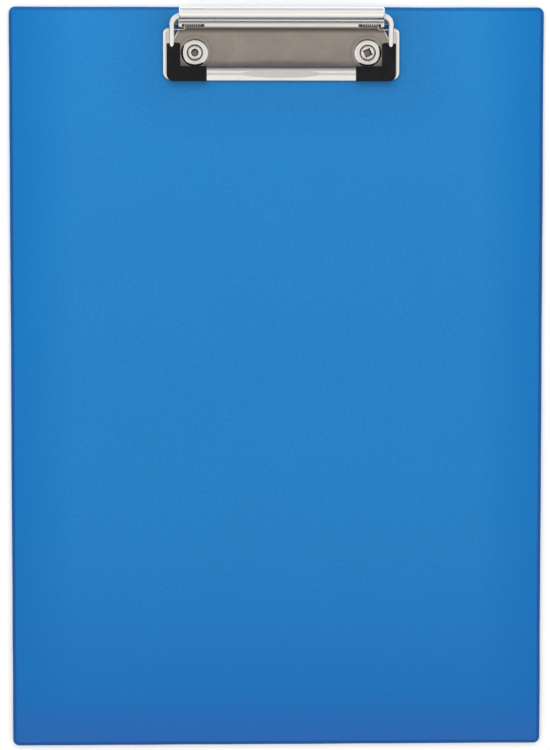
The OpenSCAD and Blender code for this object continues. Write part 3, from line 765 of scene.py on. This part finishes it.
def spin_tree():
    """Spins a guide line of (radius, 0, height) round an upright axis and notches what it marks as petals."""
    tree, given = new_tree("spun_section", Axis="Vector", Steps="Int", Petals="Int", Slit="Float", Phase="Float",
                           Finish="Material")
    line = given["Guide line"]
    count = add(tree, "GeometryNodeAttributeDomainSize", component="MESH")
    feed(tree, count, Geometry=line)
    columns = maths(tree, "ADD", given["Steps"], 1.0)
    grid = add(tree, "GeometryNodeMeshGrid")
    feed(tree, grid, Vertices_X=count.outputs["Point Count"], Vertices_Y=columns)
    index = add(tree, "GeometryNodeInputIndex").outputs[0]
    # A grid's points are numbered column after column; the half keeps a whole number from rounding down
    row = maths(tree, "FLOOR", maths(tree, "DIVIDE", maths(tree, "ADD", index, 0.5), columns))
    column = maths(tree, "SUBTRACT", index, maths(tree, "MULTIPLY", row, columns))
    turn = maths(tree, "MULTIPLY", maths(tree, "DIVIDE", column, given["Steps"]), math.tau)

    def along_line(kind, value):
        sample = add(tree, "GeometryNodeSampleIndex", data_type=kind)
        feed(tree, sample, Geometry=line, Value=value, Index=row)
        return sample.outputs[0]

    spot = parted(tree, along_line("FLOAT_VECTOR", add(tree, "GeometryNodeInputPosition").outputs[0]))
    marks = add(tree, "GeometryNodeInputNamedAttribute", data_type="FLOAT")
    feed(tree, marks, Name="petal")
    petal = along_line("FLOAT", marks.outputs["Attribute"])
    phase = maths(tree, "ADD", turn, given["Phase"])
    wave = maths(tree, "COSINE", maths(tree, "MULTIPLY", phase, given["Petals"]))
    notch = maths(tree, "POWER", maths(tree, "MAXIMUM", wave, 0.0), NOTCH_SHARPNESS)
    cut = maths(tree, "MULTIPLY", maths(tree, "MULTIPLY", notch, petal), given["Slit"])
    radius = maths(tree, "ADD", spot["X"], cut)
    height = maths(tree, "SUBTRACT", spot["Z"], maths(tree, "MULTIPLY", cut, NOTCH_DROP))
    place = add(tree, "ShaderNodeCombineXYZ")
    feed(tree, place, X=maths(tree, "MULTIPLY", radius, maths(tree, "COSINE", turn)),
         Y=maths(tree, "MULTIPLY", radius, maths(tree, "SINE", turn)), Z=height)
    moved = add(tree, "GeometryNodeSetPosition")
    feed(tree, moved, Geometry=grid.outputs["Mesh"], Position=place.outputs[0], Offset=given["Axis"])
    closed = add(tree, "GeometryNodeMergeByDistance")
    feed(tree, closed, Geometry=moved.outputs[0], Distance=WELD_WITHIN)
    return close_tree(tree, closed.outputs[0], given)


def wire_tree():
    """Draws a round wire along a guide line."""
    tree, given = new_tree("drawn_wire", Radius="Float", Sides="Int", Finish="Material")
    path = add(tree, "GeometryNodeMeshToCurve")
    feed(tree, path, Mesh=given["Guide line"])
    section = add(tree, "GeometryNodeCurvePrimitiveCircle")
    feed(tree, section, Resolution=given["Sides"], Radius=given["Radius"])
    wire = add(tree, "GeometryNodeCurveToMesh")
    feed(tree, wire, Curve=path.outputs[0], Profile_Curve=section.outputs[0], Fill_Caps=True)
    return close_tree(tree, wire.outputs[0], given)


# ---- rivets and springs

RIVET_STEPS = 96
ROLL_STEPS = 22
PETALS_FROM, PETALS_OVER = 50, 100      # degrees round the rolled end where petals begin, and until they are full
PETAL_TURN = math.radians(20)
LEFT_PETALS, LEFT_SLIT = 6, 0.12        # the left rivet is barely split: its slits against the right one's
COIL_STEPS = 32
BEND_STEPS = 8
WIRE_SIDES = 14


def rivet_line(settings, lo, hi):
    """Half section of a tubular rivet as (radius, 0, height), with the share of petal at each point."""
    head_r = (hi.x - lo.x) / 2
    head_top = lo.z + settings.head
    edge = 0.18 * MM                    # rounding of the head's edges and of the bore's foot
    roll_r, roll_z = settings.bore + settings.roll, hi.z - settings.roll
    inset = settings.shank - roll_r
    start = math.degrees(-math.acos(inset / settings.roll))
    line = [(0.0, lo.z, 0), (head_r - edge, lo.z, 0), (head_r - 0.3 * edge, lo.z + 0.3 * edge, 0),
            (head_r, lo.z + edge, 0), (head_r, head_top - edge, 0), (head_r - edge, head_top, 0),
            (settings.shank, head_top, 0)]
    for i in range(ROLL_STEPS + 1):
        turn = start + (180 - start) * i / ROLL_STEPS
        share_of_petal = min(1.0, max(0.0, (turn - PETALS_FROM) / PETALS_OVER))
        line.append((roll_r + settings.roll * math.cos(math.radians(turn)),
                     roll_z + settings.roll * math.sin(math.radians(turn)), share_of_petal))
    line += [(settings.bore, roll_z - settings.roll, 0.5), (settings.bore, head_top + edge, 0),
             (settings.bore - edge, head_top, 0), (0.0, head_top, 0)]
    return [(radius, 0.0, z) for radius, z, _ in line], [mark for _, _, mark in line]


class CLIPBOARD_OT_rivets(bpy.types.Operator):
    """Two tubular rivets: flat heads at the back, rolled ends on the base plate"""
    bl_idname = "clipboard.rivets"
    bl_label = "Rivets"

    def execute(self, context):
        settings = context.scene.clipboard_metal
        tree = spin_tree()
        finish = nickel_finish(settings, "rivet_finish", rivet_bore_shade, rough=1.2, ripple_depth=0.01 * MM)
        forms = {"left": (LEFT_PETALS, LEFT_SLIT * settings.slit), "right": (settings.petals, settings.slit)}
        for side, (petals, slit) in forms.items():
            lo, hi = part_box("rivet_" + side)
            line, marks = rivet_line(settings, lo, hi)
            middle = (lo + hi) / 2
            piece = grow("tube_rivet_" + side, line, tree, marks, Axis=(middle.x, middle.y, 0.0),
                         Steps=RIVET_STEPS, Petals=petals, Slit=slit, Phase=PETAL_TURN, Finish=finish)
            finish_piece(piece, "board", "rivet_steel", "rivet_" + side)
        return {"FINISHED"}


def spring_line(settings, lo, hi, way):
    """A spring's centre line about the hinge axis: leg on the plate, coil, then the end that runs to the arm."""
    radius = settings.coil
    inner, outer = (lo.x, hi.x) if way > 0 else (hi.x, lo.x)
    start = inner + way * settings.wire_width / 2
    tang_y = lo.y - HINGE.y + settings.wire_width / 2
    bend = 0.6 * MM                     # radius of the bend towards the arm
    line = [(start, -settings.leg, -radius), (start, -settings.leg / 2, -radius)]
    for i in range(int(settings.turns * COIL_STEPS) + 1):
        turn = math.radians(270) + math.tau * i / COIL_STEPS
        along = start + way * settings.pitch * i / COIL_STEPS
        line.append((along, radius * math.cos(turn), radius * math.sin(turn)))
    last = line[-1][0]
    for i in range(BEND_STEPS + 1):
        turn = math.radians(90 * i / BEND_STEPS)
        line.append((last + way * bend * (1 - math.cos(turn)), tang_y + bend * (1 - math.sin(turn)), radius))
    line.append((outer, tang_y, radius))
    return [(x, HINGE.y + y, HINGE.z + z) for x, y, z in line]


class CLIPBOARD_OT_springs(bpy.types.Operator):
    """Two torsion springs in the barrel's windows"""
    bl_idname = "clipboard.springs"
    bl_label = "Springs"

    def execute(self, context):
        settings = context.scene.clipboard_metal
        tree = wire_tree()
        # painted light: the springs' wire is painted brighter than the wire's own colour
        finish = wire_finish(settings, "spring_finish", painted_light_level=1.25)
        for side, way in SIDES.items():
            lo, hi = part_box("spring_" + side)
            piece = grow("coil_spring_" + side, spring_line(settings, lo, hi, way), tree,
                         Radius=settings.wire_width / 2, Sides=WIRE_SIDES, Finish=finish)
            finish_piece(piece, "board", "spring_steel", "spring_" + side)
        return {"FINISHED"}


class CLIPBOARD_OT_clip(bpy.types.Operator):
    """Base plate and lever in nickel plate, hinge pin in drawn wire"""
    bl_idname = "clipboard.clip"
    bl_label = "Clip"

    def execute(self, context):
        settings = context.scene.clipboard_metal
        dress("clip_base_plate", nickel_finish(settings, "base_plate_finish", plate_dullness_and_shade, rough=1.2,
                                               ripple_depth=0.035 * MM))
        dress("lever_jaw", nickel_finish(settings, "lever_finish", lever_rub_and_painted_light))
        # painted shade: the pin is painted darker than the wire's own colour
        dress("hinge_pin", wire_finish(settings, "pin_finish", painted_light_level=0.35))
        return {"FINISHED"}


class CLIPBOARD_OT_corner_grips(bpy.types.Operator):
    """Black plastic grips on the jaw's corners"""
    bl_idname = "clipboard.corner_grips"
    bl_label = "Corner grips"

    def execute(self, context):
        finish = plastic_finish(context.scene.clipboard_grip)
        for side in SIDES:
            dress("corner_grip_" + side, finish)
        return {"FINISHED"}


# ---- studio

LAMP_SIZE = (0.9, 0.35)
LAMP_PLACE = Vector((-0.08, 0.62, 0.5))
LAMP_AIM = Vector((0.0, 0.1, 0.0))
TENT_WHITE = (1.0, 0.99, 0.975)


def soft_lamp(name, power):
    """An area lamp behind the clip. Metal doesn't mirror it, only the tent."""
    light = bpy.data.lights.new(name, "AREA")
    light.shape = "RECTANGLE"
    light.size, light.size_y = LAMP_SIZE
    light.energy = power
    lamp = bpy.data.objects.new(name, light)
    lamp.location = LAMP_PLACE
    lamp.rotation_mode = "QUATERNION"
    lamp.rotation_quaternion = (LAMP_AIM - LAMP_PLACE).to_track_quat("-Z", "Y")
    lamp.visible_glossy = False
    bpy.context.scene.collection.objects.link(lamp)


def seen_directly(tree):
    """1 where the camera, a mirror or glass looks at the surface, and 0 for the light that it sheds."""
    paths = add(tree, "ShaderNodeLightPath").outputs
    return maths(tree, "MAXIMUM", paths["Is Camera Ray"],
                 maths(tree, "MAXIMUM", paths["Is Glossy Ray"], paths["Is Transmission Ray"]))


def floor_finish(settings):
    """White paper floor: it shows the board's soft shadow, and white to the camera and in the metal."""
    material, tree, shader, place = new_material("floor_finish")
    tooth = texture(tree, place, 300.0, Detail=4.0)
    glow = maths(tree, "MULTIPLY", seen_directly(tree), settings.floor_glow)
    feed(tree, shader, Base_Color=mix_colour(tree, tooth, rgba(settings.floor, 0.98), rgba(settings.floor)),
         Roughness=0.9, Specular_IOR_Level=0.1, Emission_Color=WHITE, Emission_Strength=glow)
    return material


def white_tent(settings):
    """The world as a photographer's white tent: a grey gap overhead, a dimmer wall behind the clip. The camera
    itself sees plain white."""
    world = bpy.data.worlds.new("white_tent")
    world.use_nodes = True
    tree = world.node_tree
    way = parted(tree, add(tree, "ShaderNodeTexCoord").outputs["Generated"])
    overhead = fade(tree, way["Z"], math.cos(settings.gap_edge), math.cos(settings.gap_full))
    wall = fade(tree, way["Y"], math.sin(settings.wall_edge), math.sin(settings.wall_full))
    tent = mix_colour(tree, wall, rgba(TENT_WHITE, settings.dome), rgba(settings.far_wall))
    tent = mix_colour(tree, overhead, tent, rgba(settings.overhead))
    seen = add(tree, "ShaderNodeLightPath").outputs["Is Camera Ray"]
    feed(tree, tree.nodes["Background"], Color=mix_colour(tree, seen, tent, WHITE), Strength=1.0)
    return world


class CLIPBOARD_OT_stage(bpy.types.Operator):
    """White floor, white tent, a soft lamp and the camera"""
    bl_idname = "clipboard.stage"
    bl_label = "Stage"

    def execute(self, context):
        settings = context.scene.clipboard_stage
        scene = context.scene
        scene.view_settings.view_transform = "Standard"
        sheet = bpy.data.meshes.new("studio_floor")
        half, z = settings.floor_half, BOARD_LO.z
        corners = [(-half, -half, z), (half, -half, z), (half, half, z), (-half, half, z)]
        sheet.from_pydata(corners, [], [(0, 1, 2, 3)])
        sheet.materials.append(floor_finish(settings))
        floor = bpy.data.objects.new("studio_floor", sheet)
        scene.collection.objects.link(floor)
        scene.world = white_tent(settings)
        soft_lamp("lamp_head", settings.lamp)
        aim = Vector((settings.aim_x, settings.aim_y, 0.0))
        turn = Matrix.Rotation(-settings.yaw, 3, "Y") @ Matrix.Rotation(-settings.tilt, 3, "X")
        lens = bpy.data.cameras.new("photo_camera")
        lens.lens = settings.lens
        lens.sensor_width = 36.0
        camera = bpy.data.objects.new("photo_camera", lens)
        stand = aim + turn @ Vector((0, 0, settings.distance))
        camera.matrix_world = Matrix.Translation(stand) @ turn.to_4x4()
        scene.collection.objects.link(camera)
        scene.camera = camera
        return {"FINISHED"}


class CLIPBOARD_PT_build(bpy.types.Panel):
    """Sizes, colours and building steps"""
    bl_label = "Clipboard"
    bl_idname = "CLIPBOARD_PT_build"
    bl_space_type = "VIEW_3D"
    bl_region_type = "UI"
    bl_category = "Clipboard"

    def draw(self, context):
        for operator in OPERATORS:
            self.layout.operator(operator.bl_idname)
        for name, group in SETTINGS.items():
            box = self.layout.box()
            for key in group.__annotations__:
                box.prop(getattr(context.scene, name), key)


OPERATORS = (CLIPBOARD_OT_cover_sheets, CLIPBOARD_OT_clip, CLIPBOARD_OT_rivets, CLIPBOARD_OT_springs,
             CLIPBOARD_OT_corner_grips, CLIPBOARD_OT_stage)


def register():
    for group in SETTINGS.values():
        bpy.utils.register_class(group)
    for name, group in SETTINGS.items():
        setattr(bpy.types.Scene, name, PointerProperty(type=group))
    for operator in OPERATORS:
        bpy.utils.register_class(operator)
    bpy.utils.register_class(CLIPBOARD_PT_build)


def unregister():
    bpy.utils.unregister_class(CLIPBOARD_PT_build)
    for operator in reversed(OPERATORS):
        bpy.utils.unregister_class(operator)
    for name, group in SETTINGS.items():
        delattr(bpy.types.Scene, name)
        bpy.utils.unregister_class(group)


def main():
    register()
    bpy.ops.clipboard.cover_sheets()
    bpy.ops.clipboard.clip()
    bpy.ops.clipboard.rivets()
    bpy.ops.clipboard.springs()
    bpy.ops.clipboard.corner_grips()
    bpy.ops.clipboard.stage()


if __name__ == "__main__":
    main()
